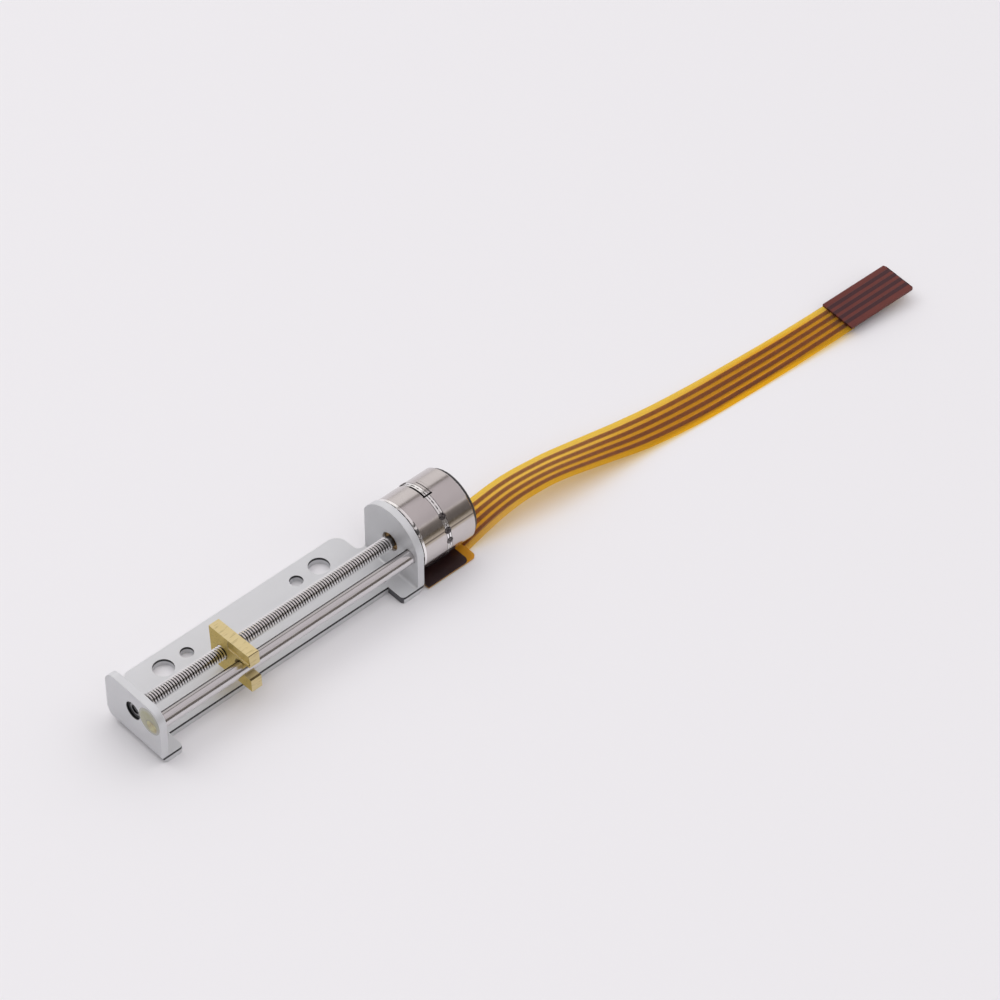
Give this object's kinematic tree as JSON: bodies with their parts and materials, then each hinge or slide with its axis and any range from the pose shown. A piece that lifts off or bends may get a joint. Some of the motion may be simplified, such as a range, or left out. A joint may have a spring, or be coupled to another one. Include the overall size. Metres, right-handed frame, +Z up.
{
  "type": "linear stepper actuator",
  "caption": "Miniature lead-screw linear actuator: claw-pole stepper motor on a bent steel bracket, brass slider on a guide rod, flat flexible cable",
  "frame": {"origin": "on the underside of the base sheet, below the lead screw's axis, midway between the two fixing holes", "axes": "+X along the lead screw from the front plate to the motor, +Y towards the flange with the holes, +Z up from the base"},
  "size_m": [0.0984, 0.0144, 0.0084],
  "materials": {
    "plated_steel": "bright zinc plate, satin",
    "ground_steel": "ground and polished",
    "rolled_steel": "rolled thread, bright",
    "nickel": "nickel plate over drawn steel",
    "brass": "machined, faint tool marks",
    "bronze": "sintered",
    "magnet": "dark, matt",
    "copper_wire": "enamelled winding",
    "black_polymer": "moulded, matt",
    "white_polymer": "moulded, matt",
    "clear_adhesive": "cured, slightly cloudy",
    "amber_film": "glossy film",
    "maroon_backing": "glossy backing sheet",
    "gold_contact": "gold flash",
    "solder": "reflowed solder",
    "tinned_wire": "tinned"
  },
  "bodies": {
    "frame": {"bracket": "plated_steel", "front_bush": "black_polymer", "guide_rod": "ground_steel", "rod_adhesive": "clear_adhesive", "front_cup": "nickel", "front_yoke": "nickel", "front_bobbin": "white_polymer", "front_coil": "copper_wire", "rear_cup": "nickel", "rear_yoke": "nickel", "rear_bobbin": "white_polymer", "rear_coil": "copper_wire", "motor_front_bearing": "bronze", "motor_rear_bearing": "bronze", "thrust_ball": "ground_steel", "end_cap": "black_polymer", "terminal_block": "black_polymer", "flex_head_film": "amber_film", "flex_head_backing": "maroon_backing", "flex_ribbon": "amber_film", "flex_tab_film": "amber_film", "flex_tab_backing": "maroon_backing", "terminal_pin_1": "tinned_wire", "solder_joint_1": "solder", "flex_contact_1": "gold_contact", "terminal_pin_2": "tinned_wire", "solder_joint_2": "solder", "flex_contact_2": "gold_contact", "terminal_pin_3": "tinned_wire", "solder_joint_3": "solder", "flex_contact_3": "gold_contact", "terminal_pin_4": "tinned_wire", "solder_joint_4": "solder", "flex_contact_4": "gold_contact"},
    "screw": {"lead_screw": "rolled_steel", "rotor_hub": "brass", "rotor_magnet": "magnet", "thrust_washer": "black_polymer"},
    "slider": {"slider": "brass"}
  },
  "joints": [
    {"name": "screw_spin", "type": "hinge", "parent": "frame", "child": "screw", "pos_m": [0, 0, 0.0043], "axis": [-1, 0, 0], "range_deg": [-9841, 21841]},
    {"name": "slider_slide", "type": "slide", "parent": "frame", "child": "slider", "axis": [1, 0, 0], "range_m": [-0.0082, 0.0182]}
  ],
  "couplings": [
    {"joint": "screw_spin", "follows": "slider_slide", "rad_per_m": 20944}
  ]
}
